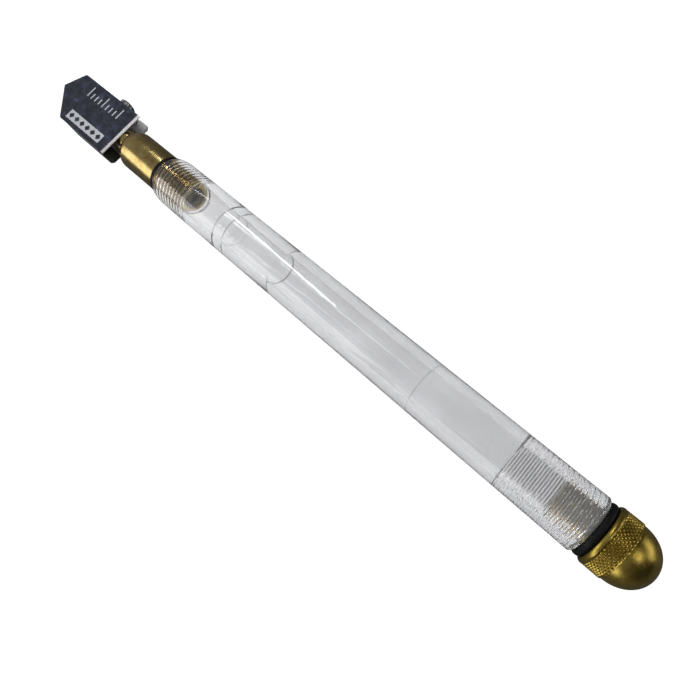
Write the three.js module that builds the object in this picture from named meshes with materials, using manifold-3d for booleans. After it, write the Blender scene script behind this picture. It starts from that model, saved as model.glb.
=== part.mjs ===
// Self-oiling pencil glass cutter: a clear acrylic oil tube with a knurled brass
// cap, and a brass spindle carrying a wide swivelling head with a cutting wheel.
//
// All sizes are in millimetres. In the tool's own coordinates x runs along the
// tool axis from the tube's front face (x = 0) to the cap, z stands square to
// the wide head plate and y is across it. The outer group then puts the origin
// under the middle of the whole cutter, on the surface that it lies on.

import * as THREE from "three";
import { mergeVertices } from "three/addons/utils/BufferGeometryUtils.js";
import Module from "manifold-3d";

const wasm = await Module();
wasm.setup();

// ---- Driving dimensions ----------------------------------------------------

// Clear handle tube. Both ends are tapped. The front hole tapers to a slightly
// narrower neck, and behind it the reservoir widens in two small steps.
const TUBE_RADIUS = 6;
const TUBE_LENGTH = 122.05;
const TUBE_NOSE_LENGTH = 3;
const TUBE_NOSE_RADIUS = 4.95;
const TUBE_NOSE_MIDDLE_X = 0.9;
const TUBE_NOSE_MIDDLE_RADIUS = 5.53;
const TUBE_REAR_BEVEL = 0.5;
const TAPPED_RADIUS = 4.35;
const DRILLED_RADIUS = 4;
const FRONT_TAPPED_DEPTH = 12.5;
const FRONT_HOLE_DEPTH = 23.2;
const NECK_TAPER_LENGTH = 3.2;
const NECK_RADIUS = 3.75;
const RESERVOIR_FRONT_X = 42;
const RESERVOIR_FRONT_RADIUS = 3.9;
const RESERVOIR_STEP_X = 83.1;
const REAR_TAPPED_DEPTH = 17.75;

// Brass spindle: boss, shank and threaded stud, with a stepped bore.
const BOSS_FRONT_X = -18.35;
const BOSS_RADIUS = 3.3;
const BOSS_BEVEL = 0.25;
const SHANK_FRONT_X = -15.2;
const SHANK_RADIUS = 4.95;
const SHANK_BEVEL_LENGTH = 1.6;
const SHANK_BEVEL_RADIUS = 4;
const STUD_RADIUS = 4.2;
const STUD_END_X = 11.3;
const STEM_BORE_RADIUS = 2.5;
const STEM_BORE_END_X = -3;
const OIL_PASSAGE_RADIUS = 1.2;
const VALVE_SEAT_X = 6;
const VALVE_CHAMBER_RADIUS = 2.7;
const STEM_GROOVE_X = -10.5;
const STEM_GROOVE_LENGTH = 1.3;
const STEM_GROOVE_RADIUS = 3.5;

// Seals.
const FRONT_SEAL_THICKNESS = 0.8;
const FRONT_SEAL_OUTER_RADIUS = 5.1;
const REAR_SEAL_THICKNESS = 1.6;
const REAR_SEAL_INNER_RADIUS = 4.4;
const REAR_SEAL_OUTER_RADIUS = 5.75;
const REAR_SEAL_ROUND = 0.45;
const SEAL_GAP = 0.02;
const VALVE_SEAL_THICKNESS = 0.8;
const VALVE_SEAL_INNER_RADIUS = 0.95;
const VALVE_SEAL_OUTER_RADIUS = 2.2;

// Sliding valve stem with its screwed-on valve head, spring and retainer.
const STEM_RADIUS = 2.4;
const STEM_FRONT_X = -30.1;
const STEM_REAR_X = -3.6;
const STEM_OIL_HOLE_RADIUS = 0.45;
const STEM_CROSS_HOLE_X = -5.2;
const ROD_RADIUS = 0.75;
const ROD_END_X = 7.9;
const VALVE_HEAD_RADIUS = 2.1;
const VALVE_HEAD_LENGTH = 1.28;
const VALVE_HEAD_BORE_RADIUS = 0.82;
const SPRING_FRONT_X = 8.4;
const SPRING_LENGTH = 1.7;
const SPRING_RADIUS = 1.45;
const SPRING_WIRE_RADIUS = 0.2;
const SPRING_TURNS = 3;
const SPRING_STEPS_PER_TURN = 14;
const RETAINER_X = 10.35;
const RETAINER_LENGTH = 0.85;
const RETAINER_BORE_RADIUS = 0.9;

// Head: a wide guide plate on a body whose rear carries a thin fork.
const PLATE_HALF_WIDTH = 6.75;
const PLATE_TIP_X = -44.2;
const PLATE_TIP_Y = 0.75;
const PLATE_LEFT_SHOULDER_X = -41.2;
const PLATE_RIGHT_SHOULDER_X = -36.7;
const PLATE_REAR_X = -17.4;
const PLATE_BOTTOM_Z = 3.35;
const PLATE_THICKNESS = 0.65;
const PLATE_CORNER = 0.7;
const PLATE_CORNER_SLANT = 0.28;
const BODY_INSET = 0.15;
const SHOULDER_INSET_SHARE = 0.5;
const BODY_BOTTOM_Z = -3.4;
const BODY_REAR_X = -21;
const BODY_BORE_END_X = -30.7;
const NOSE_TAPER_X = -37.1;
const NOSE_TAPER_RISE = 1.6;
const FORK_REAR_X = -16.8;
const FORK_BOTTOM_Z = -0.6;
const FORK_TOP_Z = 0.2;
const FORK_HALF_GAP = 3.6;
const FORK_CORNER = 0.7;
const FORK_INSET_LENGTH = 0.6;
const WICK_CHANNEL_RADIUS = 0.8;
const WICK_RADIUS = 0.7;
const WICK_END_GAP = 0.3;

// Cutting wheel and its axle.
const WHEEL_RADIUS = 2.5;
const WHEEL_TIP_X = -45.1;
const WHEEL_HALF_THICKNESS = 0.5;
const WHEEL_EDGE_DEPTH = 0.5;
const WHEEL_BORE_RADIUS = 0.66;
const WHEEL_SLOT_HALF_HEIGHT = 0.6;
const WHEEL_SLOT_REAR_X = -39.5;
const AXLE_RADIUS = 0.6;
const AXLE_HOLE_RADIUS = 0.63;

// Lock screw in the head's side, whose tip limits the head's swivel.
const SCREW_X = -27.2;
const SCREW_HEAD_RADIUS = 2.1;
const SCREW_HEAD_HEIGHT = 1.9;
const SCREW_HEAD_BEVEL = 0.35;
const SCREW_SHANK_RADIUS = 1.5;
const SCREW_HOLE_RADIUS = 1.6;
const SCREW_TIP_RADIUS = 1;
const SCREW_TIP_Y = 1.9;
const SCREW_TIP_LENGTH = 1.2;
const SCREW_SLOT_WIDTH = 0.6;
const SCREW_SLOT_DEPTH = 0.7;
const POCKET_LENGTH = 2.5;
const POCKET_HALF_HEIGHT = 1.75;
const POCKET_FLOOR_Y = 1.45;

// Brass end cap: threaded stud, smooth land, knurled band and dome.
const CAP_RADIUS = 6.2;
const CAP_STUD_LENGTH = 9.4;
const CAP_BEVEL = 0.35;
const CAP_LAND_LENGTH = 1;
const CAP_KNURL_LENGTH = 3.35;
const CAP_DOME_LENGTH = 6.5;
const CAP_DOME_RADIUS = 5.95;
const CAP_DOME_STEPS = 6;

const LEAD_IN = 0.5;
const BIG_ROUND = 24;
const SMALL_ROUND = 16;
const WIRE_CURVE_STEPS = 6;
const CORNER_CURVE_STEPS = 4;
const CUT_MARGIN = 1;

// ---- Derived positions -----------------------------------------------------

const SEAL_FACE_X = -FRONT_SEAL_THICKNESS;
const BODY_HALF_WIDTH = PLATE_HALF_WIDTH - BODY_INSET;
const WHEEL_X = WHEEL_TIP_X + WHEEL_RADIUS;
const VALVE_HEAD_X = VALVE_SEAT_X + VALVE_SEAL_THICKNESS + SEAL_GAP;
const CAP_FRONT_X = TUBE_LENGTH + REAR_SEAL_THICKNESS;
const CAP_KNURL_END_X = CAP_FRONT_X + CAP_LAND_LENGTH + CAP_KNURL_LENGTH;
const CAP_END_X = CAP_KNURL_END_X + CAP_DOME_LENGTH;
const SCREW_HEAD_Y = BODY_HALF_WIDTH + SEAL_GAP;
const SCREW_END_Y = SCREW_HEAD_Y + SCREW_HEAD_HEIGHT;
const CENTRE_X = (WHEEL_TIP_X + CAP_END_X) / 2;
const CENTRE_Y = (SCREW_END_Y - PLATE_HALF_WIDTH) / 2;

// ---- Solids ----------------------------------------------------------------

// A closed geometry as a manifold solid.
function solidOf(geometry) {
  const bare = geometry.clone();
  bare.deleteAttribute("normal");
  bare.deleteAttribute("uv");
  const merged = mergeVertices(bare);
  return new wasm.Manifold(
    new wasm.Mesh({
      numProp: 3,
      vertProperties: new Float32Array(merged.attributes.position.array),
      triVerts: new Uint32Array(merged.index.array),
    })
  );
}

// A manifold solid as a geometry with flat faces.
function geometryOf(solid) {
  const mesh = solid.getMesh();
  const geometry = new THREE.BufferGeometry();
  geometry.setAttribute("position", new THREE.BufferAttribute(mesh.vertProperties, 3));
  geometry.setIndex(new THREE.BufferAttribute(mesh.triVerts, 1));
  const faceted = geometry.toNonIndexed();
  faceted.computeVertexNormals();
  return faceted;
}

function cut(geometry, ...tools) {
  return geometryOf(tools.reduce((solid, tool) => solid.subtract(solidOf(tool)), solidOf(geometry)));
}

function join(geometry, ...others) {
  return geometryOf(others.reduce((solid, other) => solid.add(solidOf(other)), solidOf(geometry)));
}

// A turned piece about the x axis from [x, radius] points, front to rear. Each
// side's flat lies at the radius, with flats square to y and z.
function turned(profile, sides, closed = false) {
  const reach = 1 / Math.cos(Math.PI / sides);
  const points = profile.map(([x, radius]) => new THREE.Vector2(radius * reach, x));
  if (closed) {
    points.push(points[0].clone());
  }
  const geometry = new THREE.LatheGeometry(points, sides, Math.PI / sides);
  geometry.rotateZ(-Math.PI / 2);
  return geometry;
}

// A plain cylinder along x.
function rod(frontX, rearX, radius, sides) {
  return turned([[frontX, 0], [frontX, radius], [rearX, radius], [rearX, 0]], sides);
}

// A plain ring along x.
function ring(frontX, rearX, innerRadius, outerRadius, sides) {
  const profile = [
    [frontX, innerRadius],
    [frontX, outerRadius],
    [rearX, outerRadius],
    [rearX, innerRadius],
  ];
  return turned(profile, sides, true);
}

// A box from its lowest corner to its highest.
function block(low, high) {
  const [width, depth, height] = high.map((value, i) => value - low[i]);
  const geometry = new THREE.BoxGeometry(width, depth, height);
  return geometry.translate(low[0] + width / 2, low[1] + depth / 2, low[2] + height / 2);
}

// An outline of [x, y] points as a sheet from bottomZ up.
function sheet(shape, bottomZ, height) {
  const geometry = new THREE.ExtrudeGeometry(shape, {
    depth: height,
    bevelEnabled: false,
    curveSegments: CORNER_CURVE_STEPS,
  });
  return geometry.translate(0, 0, bottomZ);
}

function polygon(points) {
  return new THREE.Shape(points.map(([x, y]) => new THREE.Vector2(x, y)));
}

// ---- Handle ----------------------------------------------------------------

function handleTube() {
  const rearTappedX = TUBE_LENGTH - REAR_TAPPED_DEPTH;
  const profile = [
    [0, TAPPED_RADIUS],
    [0, TUBE_NOSE_RADIUS],
    [TUBE_NOSE_MIDDLE_X, TUBE_NOSE_MIDDLE_RADIUS],
    [TUBE_NOSE_LENGTH, TUBE_RADIUS],
    [TUBE_LENGTH - TUBE_REAR_BEVEL, TUBE_RADIUS],
    [TUBE_LENGTH, TUBE_RADIUS - TUBE_REAR_BEVEL],
    [TUBE_LENGTH, TAPPED_RADIUS],
    [rearTappedX, TAPPED_RADIUS],
    [rearTappedX, DRILLED_RADIUS],
    [RESERVOIR_STEP_X, DRILLED_RADIUS],
    [RESERVOIR_STEP_X, RESERVOIR_FRONT_RADIUS],
    [RESERVOIR_FRONT_X, RESERVOIR_FRONT_RADIUS],
    [RESERVOIR_FRONT_X, NECK_RADIUS],
    [FRONT_HOLE_DEPTH + NECK_TAPER_LENGTH, NECK_RADIUS],
    [FRONT_HOLE_DEPTH, DRILLED_RADIUS],
    [FRONT_TAPPED_DEPTH, DRILLED_RADIUS],
    [FRONT_TAPPED_DEPTH, TAPPED_RADIUS],
  ];
  return turned(profile, BIG_ROUND, true);
}

function frontSealRing() {
  return ring(SEAL_FACE_X, 0, TAPPED_RADIUS, FRONT_SEAL_OUTER_RADIUS, BIG_ROUND);
}

function spindle() {
  const grooveEndX = STEM_GROOVE_X + STEM_GROOVE_LENGTH;
  const profile = [
    [BOSS_FRONT_X, STEM_BORE_RADIUS],
    [BOSS_FRONT_X, BOSS_RADIUS - BOSS_BEVEL],
    [BOSS_FRONT_X + BOSS_BEVEL, BOSS_RADIUS],
    [SHANK_FRONT_X, BOSS_RADIUS],
    [SHANK_FRONT_X, SHANK_BEVEL_RADIUS],
    [SHANK_FRONT_X + SHANK_BEVEL_LENGTH, SHANK_RADIUS],
    [SEAL_FACE_X, SHANK_RADIUS],
    [SEAL_FACE_X, STUD_RADIUS],
    [STUD_END_X - LEAD_IN, STUD_RADIUS],
    [STUD_END_X, STUD_RADIUS - LEAD_IN],
    [STUD_END_X, VALVE_CHAMBER_RADIUS],
    [VALVE_SEAT_X, VALVE_CHAMBER_RADIUS],
    [VALVE_SEAT_X, OIL_PASSAGE_RADIUS],
    [STEM_BORE_END_X, OIL_PASSAGE_RADIUS],
    [STEM_BORE_END_X, STEM_BORE_RADIUS],
    [grooveEndX, STEM_BORE_RADIUS],
    [grooveEndX, STEM_GROOVE_RADIUS],
    [STEM_GROOVE_X, STEM_GROOVE_RADIUS],
    [STEM_GROOVE_X, STEM_BORE_RADIUS],
  ];
  return turned(profile, BIG_ROUND, true);
}

function stemSealRing() {
  return ring(
    STEM_GROOVE_X + SEAL_GAP,
    STEM_GROOVE_X + STEM_GROOVE_LENGTH - SEAL_GAP,
    STEM_BORE_RADIUS - SEAL_GAP,
    STEM_GROOVE_RADIUS - SEAL_GAP,
    BIG_ROUND
  );
}

// ---- Oil valve -------------------------------------------------------------

function valveSealRing() {
  return ring(
    VALVE_SEAT_X,
    VALVE_SEAT_X + VALVE_SEAL_THICKNESS,
    VALVE_SEAL_INNER_RADIUS,
    VALVE_SEAL_OUTER_RADIUS,
    SMALL_ROUND
  );
}

// Stem and thin rod in one piece, with an oil hole, its side inlet and the
// pocket that the lock screw's tip runs in.
function valveStem() {
  const body = turned(
    [
      [STEM_FRONT_X, 0],
      [STEM_FRONT_X, STEM_RADIUS],
      [STEM_REAR_X, STEM_RADIUS],
      [STEM_REAR_X, ROD_RADIUS],
      [ROD_END_X, ROD_RADIUS],
      [ROD_END_X, 0],
    ],
    BIG_ROUND
  );
  const oilHole = rod(STEM_FRONT_X - CUT_MARGIN, STEM_CROSS_HOLE_X, STEM_OIL_HOLE_RADIUS, SMALL_ROUND);
  const crossHole = new THREE.CylinderGeometry(
    STEM_OIL_HOLE_RADIUS,
    STEM_OIL_HOLE_RADIUS,
    STEM_RADIUS + CUT_MARGIN,
    SMALL_ROUND
  );
  crossHole.translate(STEM_CROSS_HOLE_X, (STEM_RADIUS + CUT_MARGIN) / 2, 0);
  const pocket = block(
    [SCREW_X - POCKET_LENGTH / 2, POCKET_FLOOR_Y, -POCKET_HALF_HEIGHT],
    [SCREW_X + POCKET_LENGTH / 2, STEM_RADIUS + CUT_MARGIN, POCKET_HALF_HEIGHT]
  );
  return cut(body, oilHole, crossHole, pocket);
}

function valveHead() {
  return ring(
    VALVE_HEAD_X,
    VALVE_HEAD_X + VALVE_HEAD_LENGTH,
    VALVE_HEAD_BORE_RADIUS,
    VALVE_HEAD_RADIUS,
    SMALL_ROUND
  );
}

class Helix extends THREE.Curve {
  getPoint(t) {
    const angle = t * SPRING_TURNS * 2 * Math.PI;
    return new THREE.Vector3(
      SPRING_FRONT_X + t * SPRING_LENGTH,
      SPRING_RADIUS * Math.cos(angle),
      SPRING_RADIUS * Math.sin(angle)
    );
  }
}

function valveSpring() {
  const section = new THREE.Shape();
  section.absarc(0, 0, SPRING_WIRE_RADIUS, 0, 2 * Math.PI, false);
  return new THREE.ExtrudeGeometry(section, {
    steps: SPRING_TURNS * SPRING_STEPS_PER_TURN,
    curveSegments: WIRE_CURVE_STEPS,
    extrudePath: new Helix(),
  });
}

function springRetainer() {
  return ring(
    RETAINER_X,
    RETAINER_X + RETAINER_LENGTH,
    RETAINER_BORE_RADIUS,
    VALVE_CHAMBER_RADIUS - SEAL_GAP,
    BIG_ROUND
  );
}

// ---- Head ------------------------------------------------------------------

// The head's outline in plan, drawn in from the guide plate's edge by an inset.
// The tip is off the tool axis, so the two sloping edges differ in length.
function headOutline(inset, rearX) {
  const side = PLATE_HALF_WIDTH - inset;
  const shape = new THREE.Shape();
  shape.moveTo(PLATE_TIP_X + inset, PLATE_TIP_Y);
  shape.lineTo(PLATE_RIGHT_SHOULDER_X + inset * SHOULDER_INSET_SHARE, -side);
  shape.lineTo(rearX, -side);
  shape.lineTo(rearX, side);
  shape.lineTo(PLATE_LEFT_SHOULDER_X + PLATE_CORNER, side);
  shape.quadraticCurveTo(
    PLATE_LEFT_SHOULDER_X,
    side,
    PLATE_LEFT_SHOULDER_X - PLATE_CORNER_SLANT,
    side - PLATE_CORNER
  );
  return shape;
}

function guidePlate() {
  return sheet(headOutline(0, PLATE_REAR_X), PLATE_BOTTOM_Z, PLATE_THICKNESS);
}

// One prong of the thin fork beside the spindle's boss.
function forkProng(side) {
  const points = [
    [BODY_REAR_X - CUT_MARGIN, side * FORK_HALF_GAP],
    [FORK_REAR_X, side * FORK_HALF_GAP],
    [FORK_REAR_X, side * (PLATE_HALF_WIDTH - FORK_CORNER)],
    [FORK_REAR_X - FORK_CORNER, side * PLATE_HALF_WIDTH],
    [BODY_REAR_X + FORK_INSET_LENGTH, side * PLATE_HALF_WIDTH],
    [BODY_REAR_X + FORK_INSET_LENGTH, side * BODY_HALF_WIDTH],
    [BODY_REAR_X - CUT_MARGIN, side * BODY_HALF_WIDTH],
  ];
  return sheet(polygon(points), FORK_BOTTOM_Z, FORK_TOP_Z - FORK_BOTTOM_Z);
}

// The underside of the nose slopes up to the tip, so that it clears the glass.
function noseTaper() {
  const run = NOSE_TAPER_X - PLATE_TIP_X;
  const rise = NOSE_TAPER_RISE * ((run + CUT_MARGIN) / run);
  const side = polygon([
    [NOSE_TAPER_X, BODY_BOTTOM_Z],
    [PLATE_TIP_X - CUT_MARGIN, BODY_BOTTOM_Z],
    [PLATE_TIP_X - CUT_MARGIN, BODY_BOTTOM_Z + rise],
  ]);
  const wedge = sheet(side, -PLATE_HALF_WIDTH - CUT_MARGIN, 2 * (PLATE_HALF_WIDTH + CUT_MARGIN));
  return wedge.rotateX(Math.PI / 2);
}

function headBody() {
  const bodyHeight = PLATE_BOTTOM_Z - BODY_BOTTOM_Z;
  const main = sheet(headOutline(BODY_INSET, BODY_REAR_X), BODY_BOTTOM_Z, bodyHeight);
  const withFork = join(main, forkProng(1), forkProng(-1));
  const stemBore = rod(BODY_BORE_END_X, BODY_REAR_X + CUT_MARGIN, STEM_BORE_RADIUS, BIG_ROUND);
  const wickChannel = rod(
    WHEEL_SLOT_REAR_X - CUT_MARGIN,
    BODY_BORE_END_X + CUT_MARGIN,
    WICK_CHANNEL_RADIUS,
    SMALL_ROUND
  );
  const wheelSlot = block(
    [WHEEL_TIP_X, -PLATE_HALF_WIDTH - CUT_MARGIN, -WHEEL_SLOT_HALF_HEIGHT],
    [WHEEL_SLOT_REAR_X, PLATE_HALF_WIDTH + CUT_MARGIN, WHEEL_SLOT_HALF_HEIGHT]
  );
  const axleHole = upright(BODY_BOTTOM_Z - CUT_MARGIN, PLATE_BOTTOM_Z + CUT_MARGIN, AXLE_HOLE_RADIUS);
  const screwHole = rod(
    STEM_RADIUS - CUT_MARGIN,
    BODY_HALF_WIDTH + CUT_MARGIN,
    SCREW_HOLE_RADIUS,
    SMALL_ROUND
  );
  screwHole.rotateZ(Math.PI / 2).translate(SCREW_X, 0, 0);
  return cut(withFork, stemBore, wickChannel, wheelSlot, noseTaper(), axleHole, screwHole);
}

// A cylinder along z on the wheel's centre.
function upright(bottomZ, topZ, radius) {
  const geometry = rod(bottomZ, topZ, radius, SMALL_ROUND);
  return geometry.rotateY(-Math.PI / 2).translate(WHEEL_X, PLATE_TIP_Y, 0);
}

function wheelAxle() {
  const noseBottomZ = BODY_BOTTOM_Z + NOSE_TAPER_RISE;
  return upright(noseBottomZ, PLATE_BOTTOM_Z - SEAL_GAP, AXLE_RADIUS);
}

function cuttingWheel() {
  const shoulder = WHEEL_RADIUS - WHEEL_EDGE_DEPTH;
  const profile = [
    [-WHEEL_HALF_THICKNESS, WHEEL_BORE_RADIUS],
    [-WHEEL_HALF_THICKNESS, shoulder],
    [0, WHEEL_RADIUS],
    [WHEEL_HALF_THICKNESS, shoulder],
    [WHEEL_HALF_THICKNESS, WHEEL_BORE_RADIUS],
  ];
  const geometry = turned(profile, BIG_ROUND, true);
  return geometry.rotateY(-Math.PI / 2).translate(WHEEL_X, PLATE_TIP_Y, 0);
}

function oilWick() {
  return rod(
    WHEEL_SLOT_REAR_X + WICK_END_GAP,
    BODY_BORE_END_X - WICK_END_GAP,
    WICK_RADIUS,
    SMALL_ROUND
  );
}

function lockScrew() {
  const tipRootY = SCREW_TIP_Y + SCREW_TIP_LENGTH;
  const body = turned(
    [
      [SCREW_TIP_Y, 0],
      [SCREW_TIP_Y, SCREW_TIP_RADIUS],
      [tipRootY, SCREW_TIP_RADIUS],
      [tipRootY, SCREW_SHANK_RADIUS],
      [SCREW_HEAD_Y, SCREW_SHANK_RADIUS],
      [SCREW_HEAD_Y, SCREW_HEAD_RADIUS],
      [SCREW_END_Y - SCREW_HEAD_BEVEL, SCREW_HEAD_RADIUS],
      [SCREW_END_Y, SCREW_HEAD_RADIUS - SCREW_HEAD_BEVEL],
      [SCREW_END_Y, 0],
    ],
    SMALL_ROUND
  );
  const slot = block(
    [SCREW_END_Y - SCREW_SLOT_DEPTH, -SCREW_HEAD_RADIUS - CUT_MARGIN, -SCREW_SLOT_WIDTH / 2],
    [SCREW_END_Y + CUT_MARGIN, SCREW_HEAD_RADIUS + CUT_MARGIN, SCREW_SLOT_WIDTH / 2]
  );
  return cut(body, slot).rotateZ(Math.PI / 2).translate(SCREW_X, 0, 0);
}

// ---- Cap -------------------------------------------------------------------

function rearSealRing() {
  const frontX = TUBE_LENGTH + SEAL_GAP;
  const rearX = CAP_FRONT_X - SEAL_GAP;
  const profile = [
    [frontX + REAR_SEAL_ROUND, REAR_SEAL_INNER_RADIUS],
    [frontX, REAR_SEAL_INNER_RADIUS + REAR_SEAL_ROUND],
    [frontX, REAR_SEAL_OUTER_RADIUS - REAR_SEAL_ROUND],
    [frontX + REAR_SEAL_ROUND, REAR_SEAL_OUTER_RADIUS],
    [rearX - REAR_SEAL_ROUND, REAR_SEAL_OUTER_RADIUS],
    [rearX, REAR_SEAL_OUTER_RADIUS - REAR_SEAL_ROUND],
    [rearX, REAR_SEAL_INNER_RADIUS + REAR_SEAL_ROUND],
    [rearX - REAR_SEAL_ROUND, REAR_SEAL_INNER_RADIUS],
  ];
  return turned(profile, BIG_ROUND, true);
}

function endCap() {
  const studEndX = CAP_FRONT_X - CAP_STUD_LENGTH;
  const profile = [
    [studEndX, 0],
    [studEndX, STUD_RADIUS - LEAD_IN],
    [studEndX + LEAD_IN, STUD_RADIUS],
    [CAP_FRONT_X, STUD_RADIUS],
    [CAP_FRONT_X, CAP_RADIUS - CAP_BEVEL],
    [CAP_FRONT_X + CAP_BEVEL, CAP_RADIUS],
    [CAP_KNURL_END_X, CAP_RADIUS],
  ];
  for (let step = 0; step < CAP_DOME_STEPS; step += 1) {
    const angle = (step / CAP_DOME_STEPS) * (Math.PI / 2);
    const x = CAP_KNURL_END_X + CAP_BEVEL + (CAP_DOME_LENGTH - CAP_BEVEL) * Math.sin(angle);
    profile.push([x, CAP_DOME_RADIUS * Math.cos(angle)]);
  }
  profile.push([CAP_END_X, 0]);
  return turned(profile, BIG_ROUND);
}

// ---- Assembly --------------------------------------------------------------

const FINISHES = {
  acrylic: { color: 0xdfe3e6, roughness: 0.08, metalness: 0 },
  brass: { color: 0xa8893a, roughness: 0.28, metalness: 1 },
  chrome: { color: 0x4c5068, roughness: 0.12, metalness: 1 },
  steel: { color: 0x9a9a9c, roughness: 0.35, metalness: 1 },
  carbide: { color: 0x5a5c60, roughness: 0.3, metalness: 1 },
  rubber: { color: 0x101012, roughness: 0.6, metalness: 0 },
  felt: { color: 0xd8d2c0, roughness: 1, metalness: 0 },
};

const PIECES = [
  ["handle_tube", handleTube, "acrylic"],
  ["front_seal_ring", frontSealRing, "rubber"],
  ["spindle", spindle, "brass"],
  ["stem_seal_ring", stemSealRing, "rubber"],
  ["valve_seal_ring", valveSealRing, "rubber"],
  ["valve_stem", valveStem, "brass"],
  ["valve_head", valveHead, "brass"],
  ["valve_spring", valveSpring, "steel"],
  ["spring_retainer", springRetainer, "brass"],
  ["guide_plate", guidePlate, "chrome"],
  ["head_body", headBody, "steel"],
  ["wheel_axle", wheelAxle, "steel"],
  ["cutting_wheel", cuttingWheel, "carbide"],
  ["oil_wick", oilWick, "felt"],
  ["lock_screw", lockScrew, "steel"],
  ["rear_seal_ring", rearSealRing, "rubber"],
  ["end_cap", endCap, "brass"],
];

const cutter = new THREE.Group();
cutter.position.set(-CENTRE_X, -CENTRE_Y, CAP_RADIUS);
for (const [name, build, finish] of PIECES) {
  const mesh = new THREE.Mesh(build(), new THREE.MeshStandardMaterial(FINISHES[finish]));
  mesh.name = name;
  cutter.add(mesh);
}

const part = new THREE.Group();
part.add(cutter);

export default part;
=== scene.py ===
import math

import bmesh
import bpy
from mathutils import Matrix, Vector

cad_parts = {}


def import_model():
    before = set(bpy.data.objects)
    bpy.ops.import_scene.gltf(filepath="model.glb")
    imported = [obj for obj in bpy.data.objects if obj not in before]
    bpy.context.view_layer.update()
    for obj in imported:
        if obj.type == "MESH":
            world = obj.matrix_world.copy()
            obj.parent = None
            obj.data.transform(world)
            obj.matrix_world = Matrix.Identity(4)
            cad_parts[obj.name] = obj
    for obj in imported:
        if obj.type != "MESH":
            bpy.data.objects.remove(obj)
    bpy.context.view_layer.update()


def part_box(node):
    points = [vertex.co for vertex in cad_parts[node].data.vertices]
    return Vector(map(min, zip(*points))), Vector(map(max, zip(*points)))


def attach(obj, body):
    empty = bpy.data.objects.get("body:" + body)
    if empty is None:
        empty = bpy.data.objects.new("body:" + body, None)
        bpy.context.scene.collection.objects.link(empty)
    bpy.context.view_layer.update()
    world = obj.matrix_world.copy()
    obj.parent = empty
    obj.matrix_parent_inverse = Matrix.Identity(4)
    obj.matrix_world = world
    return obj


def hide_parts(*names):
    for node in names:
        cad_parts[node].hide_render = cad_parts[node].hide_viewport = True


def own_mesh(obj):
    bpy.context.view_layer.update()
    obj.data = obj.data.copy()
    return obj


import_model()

# The cutter is modelled in tool coordinates, in millimetres: x runs along the tool axis from
# the tube's front face towards the cap, and z stands square to the head's wide plate.
MM = 0.001
TUBE_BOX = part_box("handle_tube")
ORIGIN = Vector((TUBE_BOX[0].x, *((TUBE_BOX[0] + TUBE_BOX[1]) / 2).yz))


def span(node):
    """A CAD node's lowest and highest corner in tool coordinates."""
    low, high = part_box(node)
    return (low - ORIGIN) / MM, (high - ORIGIN) / MM


TUBE_LENGTH = span("handle_tube")[1].x
TUBE_RADIUS = span("handle_tube")[1].z
SPINDLE_FRONT_X = span("spindle")[0].x
SPINDLE_END_X = span("spindle")[1].x
SHANK_RADIUS = span("spindle")[1].z
CAP_STUD_X = span("end_cap")[0].x
CAP_END_X = span("end_cap")[1].x
CAP_RADIUS = span("end_cap")[1].z
STEM_X = (span("valve_stem")[0].x, span("valve_stem")[1].x)
PLATE_LOW, PLATE_HIGH = span("guide_plate")
BODY_LOW, BODY_HIGH = span("head_body")
SCREW_LOW, SCREW_HIGH = span("lock_screw")
WHEEL_LOW, WHEEL_HIGH = span("cutting_wheel")
AXLE_LOW, AXLE_HIGH = span("wheel_axle")
AXLE_X = (AXLE_LOW.x + AXLE_HIGH.x) / 2

# Threads: one right-hand pitch everywhere, so that every stud sits in its tapped hole.
PITCH = 1.1
THREAD_STEPS = 8
THREAD_RUNOUT = 0.5

# Sides of a full turn, for turned pieces, fine ones, bores, pins and small holes.
SIDES = 96
FILLET_STEPS = 4
FINE_SIDES = 128
BORE_SIDES = 64
PIN_SIDES = 48
HOLE_SIDES = 32
SHARP_ANGLE = math.radians(34)
BEVEL_ANGLE = math.radians(50)
CUT_MARGIN = 1.0
WELD_DISTANCE = 1e-4
TINY_EDGE = 1e-5


# ---- Mesh tools --------------------------------------------------------------


def smoothstep(value):
    value = min(max(value, 0.0), 1.0)
    return value * value * (3 - 2 * value)


def filleted(corners, closed=False):
    """A profile of (x, radius, fillet) corners as a polyline, with each fillet as a curve."""
    points = []
    count = len(corners)
    for i, (x, radius, fillet) in enumerate(corners):
        here = Vector((x, radius))
        if not fillet or (not closed and i in (0, count - 1)):
            points.append(here)
            continue
        before = Vector(corners[i - 1][:2])
        after = Vector(corners[(i + 1) % count][:2])
        start = here + (before - here).normalized() * fillet
        end = here + (after - here).normalized() * fillet
        for step in range(FILLET_STEPS + 1):
            t = step / FILLET_STEPS
            points.append(start * (1 - t) ** 2 + here * 2 * t * (1 - t) + end * t * t)
    if closed:
        points.append(points[0].copy())
    return points


def ring_rows(points):
    """Rows of a turned surface, one round ring for each (x, radius) point."""
    return [lambda angle, x=x, radius=radius: (x, radius) for x, radius in points]


def thread_form(step):
    """Height of the thread, from 0 at its root to 1 at its crest, with both cut flat."""
    wave = 0.5 + 0.75 * math.cos(2 * math.pi * step / THREAD_STEPS)
    return min(max(wave, 0.0), 1.0)


def thread_rows(start, end, base, depth, pitch=PITCH):
    """Rows that follow a right-hand helix between two x positions and run out at both."""
    first = math.floor((start / pitch - 1) * THREAD_STEPS)
    last = math.ceil((end / pitch) * THREAD_STEPS)

    def row(step):
        height = thread_form(step)

        def point(angle):
            x = pitch * (step / THREAD_STEPS + angle / (2 * math.pi))
            x = min(max(x, start), end)
            fade = smoothstep(min(x - start, end - x) / (THREAD_RUNOUT * pitch))
            return x, base + depth * height * fade

        return point

    return [row(step) for step in range(first, last + 1)]


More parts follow.
